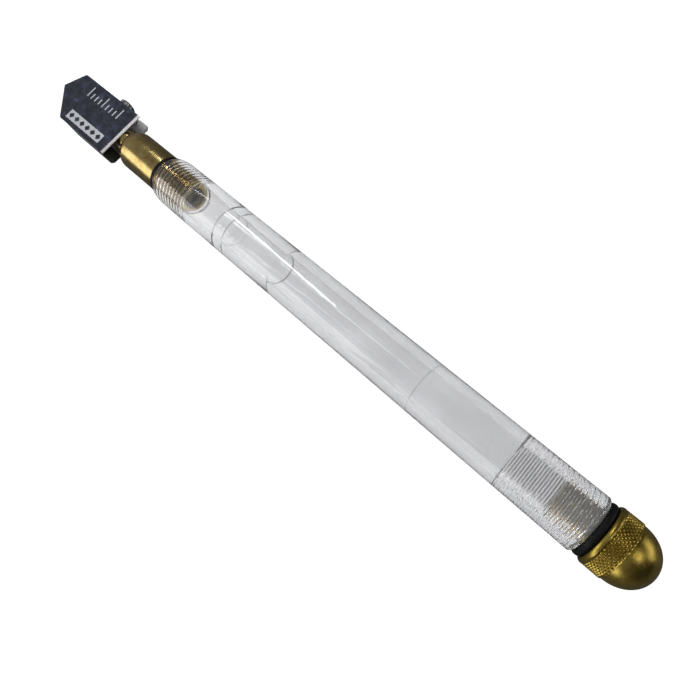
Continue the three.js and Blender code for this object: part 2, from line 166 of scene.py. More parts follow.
def revolve(rows, sides=SIDES):
    """A turned surface about the x axis. A row gives (x, radius) for each angle."""
    mesh = bmesh.new()
    grid = []
    for row in rows:
        line = []
        for column in range(sides + 1):
            angle = 2 * math.pi * column / sides
            x, radius = row(angle)
            line.append(mesh.verts.new((x, radius * math.cos(angle), radius * math.sin(angle))))
        grid.append(line)
    for near, far in zip(grid, grid[1:]):
        for column in range(sides):
            mesh.faces.new((near[column], near[column + 1], far[column + 1], far[column]))
    bmesh.ops.remove_doubles(mesh, verts=mesh.verts, dist=WELD_DISTANCE)
    bmesh.ops.dissolve_degenerate(mesh, edges=mesh.edges, dist=TINY_EDGE)
    bmesh.ops.recalc_face_normals(mesh, faces=mesh.faces)
    return mesh


def turned(corners, closed=False, sides=SIDES):
    """A turned piece from (x, radius, fillet) corners."""
    return revolve(ring_rows(filleted(corners, closed)), sides)


def ring_corners(front, rear, inner, outer, fillet):
    """The closed profile of a plain ring."""
    return [
        (front, inner, fillet),
        (front, outer, fillet),
        (rear, outer, fillet),
        (rear, inner, fillet),
    ]


def prism(outline, bottom, top):
    """A closed prism over an outline of (x, y) points."""
    mesh = bmesh.new()
    low = [mesh.verts.new((x, y, bottom)) for x, y in outline]
    high = [mesh.verts.new((x, y, top)) for x, y in outline]
    mesh.faces.new(low)
    mesh.faces.new(high)
    for i in range(len(outline)):
        j = (i + 1) % len(outline)
        mesh.faces.new((low[i], low[j], high[j], high[i]))
    bmesh.ops.recalc_face_normals(mesh, faces=mesh.faces)
    return mesh


def block(low, high):
    outline = [(low[0], low[1]), (high[0], low[1]), (high[0], high[1]), (low[0], high[1])]
    return prism(outline, low[2], high[2])


def moved(mesh, matrix):
    bmesh.ops.transform(mesh, matrix=matrix, verts=mesh.verts)
    bmesh.ops.recalc_face_normals(mesh, faces=mesh.faces)
    return mesh


def rod(front, rear, radius, sides=SIDES):
    return turned([(front, 0, 0), (front, radius, 0), (rear, radius, 0), (rear, 0, 0)], sides=sides)


def upright(mesh, x, y):
    """Turns a piece made along x so that it points along z, at x and y."""
    return moved(mesh, Matrix.Translation((x, y, 0)) @ Matrix.Rotation(-math.pi / 2, 4, "Y"))


def across(mesh, x):
    """Turns a piece made along x so that it points along y, at x."""
    return moved(mesh, Matrix.Translation((x, 0, 0)) @ Matrix.Rotation(math.pi / 2, 4, "Z"))


def temporary(mesh, index):
    """A scratch object that holds a mesh, all of it in one material index."""
    for face in mesh.faces:
        face.material_index = index
    data = bpy.data.meshes.new("scratch")
    mesh.to_mesh(data)
    mesh.free()
    made = bpy.data.objects.new("scratch", data)
    bpy.context.scene.collection.objects.link(made)
    return made


# Stand-in materials that carry each face's material index through a boolean.
MATERIAL_KEYS = [bpy.data.materials.new(f"key_{number}") for number in range(4)]


def combined(mesh, steps):
    """A mesh after a list of (operation, mesh, material index) boolean steps."""
    base = temporary(mesh, 0)
    tools = [temporary(tool, index) for _, tool, index in steps]
    slots = 1 + max(index for _, _, index in steps)
    for made in [base, *tools]:
        for number in range(slots):
            made.data.materials.append(MATERIAL_KEYS[number])
    for (operation, _, _), tool in zip(steps, tools):
        modifier = base.modifiers.new("cut", "BOOLEAN")
        modifier.operation = operation
        modifier.solver = "EXACT"
        modifier.object = tool
    bpy.context.view_layer.update()
    shown = base.evaluated_get(bpy.context.evaluated_depsgraph_get())
    result = bmesh.new()
    result.from_mesh(shown.to_mesh())
    shown.to_mesh_clear()
    for made in [base, *tools]:
        bpy.data.objects.remove(made)
    bmesh.ops.remove_doubles(result, verts=result.verts, dist=WELD_DISTANCE)
    return result


def piece(name, mesh, materials, body, sharp=SHARP_ANGLE):
    """Turns a mesh in tool coordinates into the visible piece that replaces a CAD node."""
    for edge in mesh.edges:
        edge.smooth = len(edge.link_faces) == 2 and edge.calc_face_angle(0) < sharp
    for face in mesh.faces:
        face.smooth = True
    for vertex in mesh.verts:
        vertex.co = ORIGIN + vertex.co * MM
    data = bpy.data.meshes.new(name + "_look")
    mesh.to_mesh(data)
    mesh.free()
    for material in materials:
        data.materials.append(material)
    made = bpy.data.objects.new(name + "_look", data)
    bpy.context.scene.collection.objects.link(made)
    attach(made, body)
    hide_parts(name)
    return made


def bevelled(made, width):
    """Rounds the sharp edges of a piece with a bevel modifier."""
    modifier = made.modifiers.new("edges", "BEVEL")
    modifier.width = width * MM
    modifier.segments = 2
    modifier.limit_method = "ANGLE"
    modifier.angle_limit = BEVEL_ANGLE
    modifier.harden_normals = True


# ---- Materials ---------------------------------------------------------------


# Where most of a noise texture's values lie.
NOISE_RANGE = (0.3, 0.7)

# The colour sockets of a mix node, whose names its number and vector sockets share.
MIX_COLOURS = (6, 7)
MIX_RESULT = 2


class Look:
    """A procedural material round one Principled shader, with textures in millimetres."""

    def __init__(self, name, **values):
        self.material = bpy.data.materials.new(name)
        self.material.use_nodes = True
        self.tree = self.material.node_tree
        self.shader = self.tree.nodes["Principled BSDF"]
        for socket, value in values.items():
            self.shader.inputs[socket.replace("_", " ")].default_value = value

    def node(self, kind, **settings):
        made = self.tree.nodes.new(kind)
        for key, value in settings.items():
            if key in made.inputs:
                made.inputs[key].default_value = value
            else:
                setattr(made, key, value)
        return made

    def link(self, source, target):
        self.tree.links.new(source, target)

    def place(self, stretch=(1, 1, 1)):
        """Object coordinates in millimetres, stretched along each axis."""
        coordinates = self.node("ShaderNodeTexCoord")
        mapping = self.node("ShaderNodeMapping")
        mapping.inputs["Scale"].default_value = [value / MM for value in stretch]
        self.link(coordinates.outputs["Object"], mapping.inputs["Vector"])
        return mapping.outputs["Vector"]

    def noise(self, scale, stretch=(1, 1, 1), detail=4.0, rough=0.55):
        made = self.node("ShaderNodeTexNoise", Scale=scale, Detail=detail, Roughness=rough)
        self.link(self.place(stretch), made.inputs["Vector"])
        return made.outputs["Fac"]

    def ramp(self, source, *stops):
        """A colour ramp with (position, grey or colour) stops."""
        made = self.node("ShaderNodeValToRGB")
        elements = made.color_ramp.elements
        while len(elements) < len(stops):
            elements.new(0.5)
        for element, (position, colour) in zip(elements, stops):
            element.position = position
            element.color = (*colour, 1) if isinstance(colour, tuple) else (colour,) * 3 + (1,)
        self.link(source, made.inputs["Fac"])
        return made.outputs["Color"]

    def between(self, source, low, high):
        """A ramp from one grey or colour to another over a noise's usual range."""
        return self.ramp(source, (NOISE_RANGE[0], low), (NOISE_RANGE[1], high))

    def average(self, *sources):
        made = self.node("ShaderNodeMix", data_type="RGBA", blend_type="MIX")
        made.inputs["Factor"].default_value = 0.5
        for source, socket in zip(sources, MIX_COLOURS):
            self.link(source, made.inputs[socket])
        return made.outputs[MIX_RESULT]

    def bump(self, height, distance):
        """Relief of the given depth in millimetres."""
        made = self.node("ShaderNodeBump", Strength=1.0, Distance=distance * MM)
        self.link(height, made.inputs["Height"])
        self.link(made.outputs["Normal"], self.shader.inputs["Normal"])

    def drive(self, socket, source):
        self.link(source, self.shader.inputs[socket])


def turned_metal(name, tones, roughness, line_scale=7.0):
    """Lathe-turned metal: fine rings about the tool axis, with patchy tarnish."""
    look = Look(name, Metallic=1.0)
    patches = look.noise(0.45, detail=6.0, rough=0.6)
    look.drive("Base Color", look.ramp(patches, *tones))
    lines = look.noise(line_scale, stretch=(1, 0.04, 0.04), detail=3.0)
    stains = look.noise(1.3, detail=5.0)
    look.drive("Roughness", look.between(look.average(lines, stains), *roughness))
    look.bump(lines, 0.012)
    return look.material


def brass():
    tones = (
        (0.28, (0.30, 0.200, 0.070)),
        (0.48, (0.39, 0.290, 0.110)),
        (0.70, (0.49, 0.385, 0.160)),
    )
    return turned_metal("brass", tones, (0.14, 0.26))


# Near-black brass, far darker than the other brass: painted shade for the shadow inside the stud's end, worn
# by the spring retainer.
def painted_shade_brass():
    tones = ((0.30, (0.030, 0.022, 0.008)), (0.70, (0.075, 0.055, 0.022)))
    return turned_metal("painted_shade_brass", tones, (0.20, 0.34))


def cap_brass():
    tones = (
        (0.30, (0.27, 0.185, 0.034)),
        (0.52, (0.39, 0.280, 0.056)),
        (0.72, (0.50, 0.380, 0.085)),
    )
    return turned_metal("cap_brass", tones, (0.24, 0.38), line_scale=4.0)


def dark_chrome():
    """Mirror plating with blue-violet smudges and fine scratches."""
    look = Look("dark_chrome", Metallic=1.0, Specular_IOR_Level=0.5)
    smudge = look.noise(0.42, detail=7.0, rough=0.62)
    colour = look.ramp(
        smudge,
        (0.34, (0.070, 0.078, 0.092)),
        (0.50, (0.095, 0.105, 0.140)),
        (0.62, (0.140, 0.155, 0.240)),
        (0.78, (0.340, 0.380, 0.500)),
    )
    look.drive("Base Color", colour)
    wipe = look.noise(1.1, stretch=(0.35, 1, 1), detail=6.0)
    look.drive("Roughness", look.ramp(wipe, (0.35, 0.10), (0.72, 0.34)))
    scratches = look.noise(9.0, stretch=(0.06, 1, 1), detail=2.0)
    look.bump(scratches, 0.003)
    return look.material


def etched():
    """The frosted floor of an etched mark."""
    look = Look("etched", Metallic=0.55, Roughness=0.55)
    grain = look.noise(14.0, detail=3.0)
    look.drive("Base Color", look.between(grain, (0.62, 0.64, 0.70), (0.90, 0.92, 0.97)))
    look.bump(grain, 0.01)
    return look.material


def satin_metal(name, dark, light, roughness, brush_scale=6.0, metallic=1.0):
    """Ground or tumbled metal with short brush marks."""
    look = Look(name, Metallic=metallic)
    patches = look.noise(0.9, detail=5.0)
    look.drive("Base Color", look.between(patches, dark, light))
    brush = look.noise(brush_scale, stretch=(0.15, 1, 1), detail=3.0)
    look.drive("Roughness", look.between(brush, *roughness))
    look.bump(brush, 0.006)
    return look.material


def steel():
    return satin_metal("steel", (0.30, 0.30, 0.31), (0.50, 0.50, 0.52), (0.26, 0.46))


def dark_steel():
    return satin_metal("dark_steel", (0.17, 0.17, 0.17), (0.33, 0.33, 0.33), (0.20, 0.38))


# Light grey half-metal that is a painted highlight: the plate's rear edge and chamfer and the +Y fork prong
# wear it in place of their own metal.
def painted_highlight_metal():
    return satin_metal("painted_highlight_metal", (0.78, 0.76, 0.78), (0.90, 0.88, 0.90), (0.24, 0.40), metallic=0.4)


# Near-black metal that is painted shade on the -Y fork prong, the mirror twin of the lighter +Y prong.
def painted_shade_metal():
    return satin_metal("painted_shade_metal", (0.080, 0.080, 0.066), (0.140, 0.138, 0.115), (0.34, 0.55))


def carbide():
    return satin_metal("carbide", (0.22, 0.22, 0.24), (0.36, 0.36, 0.39), (0.18, 0.32), brush_scale=16.0)


def rubber():
    look = Look("rubber", Specular_IOR_Level=0.2)
    grain = look.noise(5.0, detail=5.0)
    look.drive("Base Color", look.ramp(grain, (0.3, (0.003, 0.0025, 0.003)), (0.75, (0.009, 0.008, 0.009))))
    look.drive("Roughness", look.between(grain, 0.42, 0.66))
    look.bump(grain, 0.015)
    return look.material


def felt():
    look = Look("felt", Roughness=1.0, Sheen_Weight=0.4)
    fibre = look.noise(7.0, stretch=(0.3, 1, 1), detail=5.0)
    look.drive("Base Color", look.between(fibre, (0.50, 0.46, 0.38), (0.80, 0.77, 0.68)))
    look.bump(fibre, 0.06)
    return look.material


# Share of the full haze along the tube, as (place from front to rear, share).
HAZE_STOPS = ((0.08, 0.1), (0.20, 0.55), (0.60, 0.85), (1.0, 1.0))
HAZE_SHADE = 0.89
CLEAR_ROUGHNESS = 0.03


def acrylic(name, tint, haze_share, rough=0.14):
    """Acrylic that is clear at the front and grows cloudy towards the rear, with drawn streaks."""
    look = Look(name, Transmission_Weight=0.9, IOR=1.49)
    haze = look.noise(0.16, stretch=(0.5, 1, 1), detail=5.0)
    streaks = look.noise(2.2, stretch=(0.05, 1, 1), detail=4.0)
    split = look.node("ShaderNodeSeparateXYZ")
    look.link(look.place(), split.inputs[0])
    distance = look.node("ShaderNodeMapRange")
    distance.inputs["From Min"].default_value = ORIGIN.x / MM
    distance.inputs["From Max"].default_value = ORIGIN.x / MM + TUBE_LENGTH
    look.link(split.outputs["X"], distance.inputs["Value"])
    stops = [(place, 1 - haze_share * share) for place, share in HAZE_STOPS]
    look.drive("Transmission Weight", look.ramp(distance.outputs[0], *stops))
    look.drive("Base Color", look.between(haze, tuple(value * HAZE_SHADE for value in tint), tint))
    look.drive("Roughness", look.ramp(streaks, (0.35, CLEAR_ROUGHNESS), (0.75, rough)))
    look.bump(streaks, 0.004)
    return look.material


BRASS = brass()
PAINTED_SHADE_BRASS = painted_shade_brass()
CAP_BRASS = cap_brass()
CHROME = dark_chrome()
ETCHED = etched()
STEEL = steel()
DARK_STEEL = dark_steel()
PAINTED_HIGHLIGHT_METAL = painted_highlight_metal()
PAINTED_SHADE_METAL = painted_shade_metal()
CARBIDE = carbide()
RUBBER = rubber()
FELT = felt()
ACRYLIC = acrylic("acrylic", (0.860, 0.865, 0.885), 0.22)
BORE_ACRYLIC = acrylic("bore_acrylic", (0.985, 0.986, 0.992), 0.14)
THREAD_ACRYLIC = acrylic("thread_acrylic", (0.990, 0.990, 0.993), 0.10, 0.06)


# ---- Handle ------------------------------------------------------------------

TAPPED_RADIUS = 4.07
TAPPED_DEPTH = 0.33
DRILLED_RADIUS = 4.0
FRONT_TAPPED_X = 12.5
FRONT_HOLE_X = 23.2
NECK_TAPER = 3.2
NECK_RADIUS = 3.75
NECK_TAPER_DROP = 0.12
NECK_STEP_LENGTH = 0.1
BORE_RING = 0.16
RESERVOIR_X = 42.0
RESERVOIR_RADIUS = 3.9
RESERVOIR_STEP_X = 83.1
RESERVOIR_STEP_LENGTH = 0.05
REAR_TAPPED_LENGTH = 17.75
NOSE_LENGTH = 3.0
NOSE_RADIUS = 4.95
NOSE_BEND_PLACE = 0.3
NOSE_BEND_RISE = 0.62
BORE_LIMIT_RADIUS = NOSE_RADIUS - 0.2
REAR_BEVEL = 0.5
COUNTERSINK = 0.35


def handle_tube():
    rear_tapped_x = TUBE_LENGTH - REAR_TAPPED_LENGTH
    open_radius = TAPPED_RADIUS + COUNTERSINK
    nose = [
        (0, NOSE_RADIUS, 0.25),
        (NOSE_LENGTH * NOSE_BEND_PLACE, NOSE_RADIUS + (TUBE_RADIUS - NOSE_RADIUS) * NOSE_BEND_RISE, 0.6),
        (NOSE_LENGTH, TUBE_RADIUS, 0.9),
    ]
    outside = [
        (0, open_radius, 0),
        *nose,
        (TUBE_LENGTH - REAR_BEVEL, TUBE_RADIUS, 0.2),
        (TUBE_LENGTH, TUBE_RADIUS - REAR_BEVEL, 0.1),
        (TUBE_LENGTH, open_radius, 0),
        (TUBE_LENGTH - COUNTERSINK, TAPPED_RADIUS, 0),
    ]
    reservoir = [
        (rear_tapped_x, TAPPED_RADIUS, 0),
        (rear_tapped_x, DRILLED_RADIUS, 0.08),
        (RESERVOIR_STEP_X, DRILLED_RADIUS, 0.1),
        (RESERVOIR_STEP_X - RESERVOIR_STEP_LENGTH, RESERVOIR_RADIUS, 0.04),
        (RESERVOIR_X + BORE_RING, RESERVOIR_RADIUS, 0.03),
        (RESERVOIR_X, RESERVOIR_RADIUS + BORE_RING, 0),
        (RESERVOIR_X - NECK_STEP_LENGTH, NECK_RADIUS, 0.03),
        (FRONT_HOLE_X + NECK_TAPER + BORE_RING, NECK_RADIUS, 0.03),
        (FRONT_HOLE_X + NECK_TAPER, NECK_RADIUS + BORE_RING, 0),
        (FRONT_HOLE_X + NECK_TAPER - BORE_RING, NECK_RADIUS, 0.03),
        (FRONT_HOLE_X + BORE_RING, DRILLED_RADIUS - NECK_TAPER_DROP, 0),
        (FRONT_HOLE_X, DRILLED_RADIUS + BORE_RING, 0),
        (FRONT_HOLE_X - BORE_RING, DRILLED_RADIUS, 0.03),
        (FRONT_TAPPED_X, DRILLED_RADIUS, 0.08),
        (FRONT_TAPPED_X, TAPPED_RADIUS, 0),
    ]
    rows = ring_rows(filleted(outside))
    rear = thread_rows(rear_tapped_x, TUBE_LENGTH - COUNTERSINK, TAPPED_RADIUS, TAPPED_DEPTH)
    front = thread_rows(COUNTERSINK, FRONT_TAPPED_X, TAPPED_RADIUS, TAPPED_DEPTH)
    rows += rear[::-1]
    rows += ring_rows(filleted(reservoir))
    rows += front[::-1]
    rows += ring_rows([(0, open_radius)])
    tube = revolve(rows)
    for face in tube.faces:
        middle = face.calc_center_median()
        if middle.yz.length < BORE_LIMIT_RADIUS:
            face.material_index = 1 if FRONT_TAPPED_X < middle.x < rear_tapped_x else 2
    piece("handle_tube", tube, [ACRYLIC, BORE_ACRYLIC, THREAD_ACRYLIC], "handle")


SEAL_INNER_RADIUS = {
    "front_seal_ring": 4.35,
    "rear_seal_ring": 4.4,
    "stem_seal_ring": 2.48,
    "valve_seal_ring": 0.95,
}


def seal(name, body, fillet):
    low, high = span(name)
    corners = ring_corners(low.x, high.x, SEAL_INNER_RADIUS[name], high.z, fillet)
    piece(name, turned(corners, True), [RUBBER], body)


# ---- Spindle -----------------------------------------------------------------

BOSS_RADIUS = 3.3
SHANK_FRONT_X = -15.2
SHANK_BEVEL_RADIUS = 4.0
SHANK_BEVEL_LENGTH = 1.6
SEAL_FACE_X = -0.8
STUD_ROOT_RADIUS = 3.75
STUD_THREAD = 0.42
STUD_RELIEF = 0.5
STUD_LEAD = 0.45
STUD_LEAD_DROP = 0.4
UNDERCUT_LENGTH = 0.25
UNDERCUT_DEPTH = 0.12
BORE_RADIUS = 2.5
MOUTH_BEVEL = 0.12
BORE_END_X = -3.0
PASSAGE_RADIUS = 1.2
VALVE_SEAT_X = 6.0
CHAMBER_RADIUS = 2.7
SEAL_GROOVE = (-10.5, -9.2, 3.5)


def spindle():
    outside = [
        (SPINDLE_FRONT_X, BORE_RADIUS + MOUTH_BEVEL, 0),
        (SPINDLE_FRONT_X, BOSS_RADIUS, 0.35),
        (SHANK_FRONT_X - UNDERCUT_LENGTH, BOSS_RADIUS, 0.12),
        (SHANK_FRONT_X, BOSS_RADIUS - UNDERCUT_DEPTH, 0.08),
        (SHANK_FRONT_X, SHANK_BEVEL_RADIUS, 0.2),
        (SHANK_FRONT_X + SHANK_BEVEL_LENGTH, SHANK_RADIUS, 0.45),
        (SEAL_FACE_X, SHANK_RADIUS, 0.12),
        (SEAL_FACE_X, STUD_ROOT_RADIUS, 0.1),
        (SEAL_FACE_X + STUD_RELIEF, STUD_ROOT_RADIUS, 0),
    ]
    inside = [
        (SPINDLE_END_X - STUD_LEAD, STUD_ROOT_RADIUS, 0),
        (SPINDLE_END_X, STUD_ROOT_RADIUS - STUD_LEAD_DROP, 0.1),
        (SPINDLE_END_X, CHAMBER_RADIUS, 0),
        (VALVE_SEAT_X, CHAMBER_RADIUS, 0.1),
        (VALVE_SEAT_X, PASSAGE_RADIUS, 0),
        (BORE_END_X, PASSAGE_RADIUS, 0),
        (BORE_END_X, BORE_RADIUS, 0.1),
        (SEAL_GROOVE[1], BORE_RADIUS, 0),
        (SEAL_GROOVE[1], SEAL_GROOVE[2], 0),
        (SEAL_GROOVE[0], SEAL_GROOVE[2], 0),
        (SEAL_GROOVE[0], BORE_RADIUS, 0),
        (SPINDLE_FRONT_X + MOUTH_BEVEL, BORE_RADIUS, 0),
        (SPINDLE_FRONT_X, BORE_RADIUS + MOUTH_BEVEL, 0),
    ]
    rows = ring_rows(filleted(outside))
    rows += thread_rows(SEAL_FACE_X + STUD_RELIEF, SPINDLE_END_X - STUD_LEAD, STUD_ROOT_RADIUS, STUD_THREAD)
    rows += ring_rows(filleted(inside))
    piece("spindle", revolve(rows), [BRASS], "handle")


# ---- Oil valve ---------------------------------------------------------------

STEM_RADIUS = 2.4
ROD_RADIUS = 0.75
STEM_SHOULDER_X = -3.6
OIL_HOLE_RADIUS = 0.45
CROSS_HOLE_X = -5.2
POCKET_X = -27.2
POCKET_LENGTH = 2.5
POCKET_HALF_HEIGHT = 1.75
POCKET_FLOOR_Y = 1.45


def valve_stem():
    body = turned(
        [
            (STEM_X[0], 0, 0),
            (STEM_X[0], STEM_RADIUS, 0.2),
            (STEM_SHOULDER_X, STEM_RADIUS, 0.25),
            (STEM_SHOULDER_X, ROD_RADIUS, 0.15),
            (STEM_X[1], ROD_RADIUS, 0.15),
            (STEM_X[1], 0, 0),
        ]
    )
    hole = rod(STEM_X[0] - CUT_MARGIN, CROSS_HOLE_X, OIL_HOLE_RADIUS, HOLE_SIDES)
    cross = across(rod(0, STEM_RADIUS + CUT_MARGIN, OIL_HOLE_RADIUS, HOLE_SIDES), CROSS_HOLE_X)
    pocket = block(
        (POCKET_X - POCKET_LENGTH / 2, POCKET_FLOOR_Y, -POCKET_HALF_HEIGHT),
        (POCKET_X + POCKET_LENGTH / 2, STEM_RADIUS + CUT_MARGIN, POCKET_HALF_HEIGHT),
    )
    cuts = [("DIFFERENCE", tool, 0) for tool in (hole, cross, pocket)]
    piece("valve_stem", combined(body, cuts), [BRASS], "valve")


def fluted(corners, flutes, depth, sides):
    """A closed turned ring whose outer wall has shallow flutes along the axis."""
    outer = max(radius for _, radius, _ in corners)

    def row(x, radius):
        def point(angle):
            wave = 0.5 - 0.5 * math.cos(flutes * angle)
            cut = depth * wave if radius > outer - depth / 2 else 0
            return x, radius - cut

        return point

    return revolve([row(x, radius) for x, radius in filleted(corners, True)], sides)


VALVE_HEAD_INNER_RADIUS = 0.82
VALVE_HEAD_FLUTES = 16
VALVE_HEAD_FLUTE_DEPTH = 0.1


def valve_head():
    low, high = span("valve_head")
    corners = ring_corners(low.x, high.x, VALVE_HEAD_INNER_RADIUS, high.z, 0.1)
    grip = fluted(corners, VALVE_HEAD_FLUTES, VALVE_HEAD_FLUTE_DEPTH, FINE_SIDES)
    piece("valve_head", grip, [BRASS], "valve")


SPRING_TURNS = 3.0
SPRING_WIRE_RADIUS = 0.2
SPRING_COIL_RADIUS = 1.45
SPRING_POINTS_PER_TURN = 16


def valve_spring():
    low, high = span("valve_spring")
    start = low.x + SPRING_WIRE_RADIUS
    length = high.x - low.x - 2 * SPRING_WIRE_RADIUS
    curve = bpy.data.curves.new("valve_spring_look", "CURVE")
    curve.dimensions = "3D"
    curve.bevel_depth = SPRING_WIRE_RADIUS * MM
    curve.bevel_resolution = 4
    curve.use_fill_caps = True
    line = curve.splines.new("POLY")
    count = int(SPRING_TURNS * SPRING_POINTS_PER_TURN)
    line.points.add(count)
    for i, point in enumerate(line.points):
        angle = 2 * math.pi * SPRING_TURNS * i / count
        x = start + length * i / count
        place = Vector((x, SPRING_COIL_RADIUS * math.cos(angle), SPRING_COIL_RADIUS * math.sin(angle)))
        point.co = (*(ORIGIN + place * MM), 1)
    line.use_smooth = True
    curve.materials.append(STEEL)
    shaped = bpy.data.objects.new("valve_spring_curve", curve)
    bpy.context.scene.collection.objects.link(shaped)
    bpy.context.view_layer.update()
    wire = bpy.data.meshes.new_from_object(shaped.evaluated_get(bpy.context.evaluated_depsgraph_get()))
    bpy.data.objects.remove(shaped)
    made = bpy.data.objects.new("valve_spring_look", wire)
    bpy.context.scene.collection.objects.link(made)
    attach(made, "handle")
    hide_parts("valve_spring")
    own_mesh(made)


RETAINER_INNER_RADIUS = 0.9
RETAINER_SLOT_DEPTH = 0.3
RETAINER_SLOT_HALF_WIDTH = 0.3


def spring_retainer():
    low, high = span("spring_retainer")
    body = turned(ring_corners(low.x, high.x, RETAINER_INNER_RADIUS, high.z, 0.06), True)
    slot = block(
        (high.x - RETAINER_SLOT_DEPTH, -high.z - CUT_MARGIN, -RETAINER_SLOT_HALF_WIDTH),
        (high.x + CUT_MARGIN, high.z + CUT_MARGIN, RETAINER_SLOT_HALF_WIDTH),
    )
    # The retainer takes the near-black brass: painted shade inside the stud's end.
    piece("spring_retainer", combined(body, [("DIFFERENCE", slot, 0)]), [PAINTED_SHADE_BRASS], "handle")


# ---- Head --------------------------------------------------------------------

TIP_Y = 0.75
LEFT_SHOULDER_X = -41.2
RIGHT_SHOULDER_X = -36.7
CORNER = 0.7
CORNER_STEPS = 6
BODY_INSET = 0.15
BODY_REAR_X = -21.0
BODY_BORE_END_X = -30.7
NOSE_TAPER_X = -37.1
NOSE_TAPER_RISE = 1.6
FORK_BOTTOM_Z = -0.6
FORK_TOP_Z = 0.2
FORK_HALF_GAP = 3.6
FORK_CORNER = 0.7
FORK_INSET_LENGTH = 0.6
WICK_CHANNEL_RADIUS = 0.8
SLOT_HALF_HEIGHT = 0.6
SLOT_REAR_X = -39.5
AXLE_HOLE_RADIUS = 0.63
SCREW_HOLE_RADIUS = 1.6
MARK_DEPTH = 0.05
PLATE_REAR_BEVEL = 0.42
TICK_START_X = -35.3
TICK_SPACING = 1.62
TICK_WIDTH = 0.4
TICK_COUNT = 9
TICKS_PER_LONG_ONE = 4
TICK_START_Y = 2.3
LONG_TICK = 3.1
SHORT_TICK = 1.7
PANEL_LOW = (-35.5, -5.6)
PANEL_HIGH = (-20.7, -3.0)
LOZENGE_START_X = -34.1
LOZENGE_SPACING = 2.4
LOZENGE_COUNT = 6
LOZENGE_HALF_LENGTH = 0.95
LOZENGE_HALF_WIDTH = 0.85
LOZENGE_BASE_DEPTH = 1.5 * MARK_DEPTH
LOZENGE_TOP_DEPTH = 0.2 * MARK_DEPTH
SAME_PLACE = 1e-6
REAR_FACE_LENGTH = 1.0
PLATE_EDGE = 0.05
BODY_EDGE = 0.06
NOSE_CUT_REACH = 7.0


def head_outline(inset, rear_x):
    """The head from above: a pointed tip off the axis and one rounded shoulder."""
    side = PLATE_HIGH.y - inset
    points = [
        (PLATE_LOW.x + inset, TIP_Y),
        (RIGHT_SHOULDER_X + inset / 2, -side),
        (rear_x, -side),
        (rear_x, side),
    ]
    start = Vector((LEFT_SHOULDER_X + CORNER, side))
    middle = Vector((LEFT_SHOULDER_X, side))
    end = Vector((LEFT_SHOULDER_X - CORNER * 0.4, side - CORNER))
    for step in range(CORNER_STEPS + 1):
        t = step / CORNER_STEPS
        points.append(tuple(start * (1 - t) ** 2 + middle * 2 * t * (1 - t) + end * t * t))
    return points


def mark_cuts():
    """Plain etched marks: a row of graduation ticks, and a panel with lozenges left in it."""
    floor = PLATE_HIGH.z - MARK_DEPTH
    roof = PLATE_HIGH.z + CUT_MARGIN
    cuts = [block((*PANEL_LOW, floor), (*PANEL_HIGH, roof))]
    for number in range(TICK_COUNT):
        x = TICK_START_X + TICK_SPACING * number
        length = LONG_TICK if number % TICKS_PER_LONG_ONE == 0 else SHORT_TICK
        low = (x - TICK_WIDTH / 2, TICK_START_Y, floor)
        cuts.append(block(low, (x + TICK_WIDTH / 2, TICK_START_Y + length, roof)))
    return cuts


def lozenge(x):
    y = (PANEL_LOW[1] + PANEL_HIGH[1]) / 2
    points = [
        (x - LOZENGE_HALF_LENGTH, y),
        (x, y - LOZENGE_HALF_WIDTH),
        (x + LOZENGE_HALF_LENGTH, y),
        (x, y + LOZENGE_HALF_WIDTH),
    ]
    return prism(points, PLATE_HIGH.z - LOZENGE_BASE_DEPTH, PLATE_HIGH.z - LOZENGE_TOP_DEPTH)


def merged(first, *others):
    """Several separate closed shells as one mesh."""
    for other in others:
        scratch = bpy.data.meshes.new("scratch")
        other.to_mesh(scratch)
        other.free()
        first.from_mesh(scratch)
        bpy.data.meshes.remove(scratch)
    return first


def guide_plate():
    plate = prism(head_outline(0, PLATE_HIGH.x), PLATE_LOW.z, PLATE_HIGH.z)

    def on_top_rear(corner):
        return max(abs(corner.x - PLATE_HIGH.x), abs(corner.z - PLATE_HIGH.z)) < SAME_PLACE

    rear = [edge for edge in plate.edges if all(on_top_rear(vertex.co) for vertex in edge.verts)]
    bmesh.ops.bevel(plate, geom=rear, offset=PLATE_REAR_BEVEL, segments=1, affect="EDGES", profile=0.5)
    marked = combined(plate, [("DIFFERENCE", tool, 1) for tool in mark_cuts()])
    marked.normal_update()
    # The rear face and its chamfer take material 2, a lighter metal: a painted highlight along the plate's
    # rear edge.
    for face in marked.faces:
        at_rear = face.calc_center_median().x > PLATE_HIGH.x - REAR_FACE_LENGTH
        if at_rear and face.normal.x > 0.5 and face.material_index == 0:
            face.material_index = 2
    islands = [lozenge(LOZENGE_START_X + LOZENGE_SPACING * number) for number in range(LOZENGE_COUNT)]
    made = piece("guide_plate", merged(marked, *islands), [CHROME, ETCHED, PAINTED_HIGHLIGHT_METAL], "head")
    bevelled(made, PLATE_EDGE)


def fork_prong(side):
    """One prong of the fork behind the body, at +Y for side 1 and at -Y for side -1."""
    half = BODY_HIGH.y
    points = [
        (BODY_REAR_X - CUT_MARGIN, side * FORK_HALF_GAP),
        (BODY_HIGH.x, side * FORK_HALF_GAP),
        (BODY_HIGH.x, side * (half - FORK_CORNER)),
        (BODY_HIGH.x - FORK_CORNER, side * half),
        (BODY_REAR_X + FORK_INSET_LENGTH, side * half),
        (BODY_REAR_X + FORK_INSET_LENGTH, side * (half - BODY_INSET)),
        (BODY_REAR_X - CUT_MARGIN, side * (half - BODY_INSET)),
    ]
    return prism(points, FORK_BOTTOM_Z, FORK_TOP_Z)


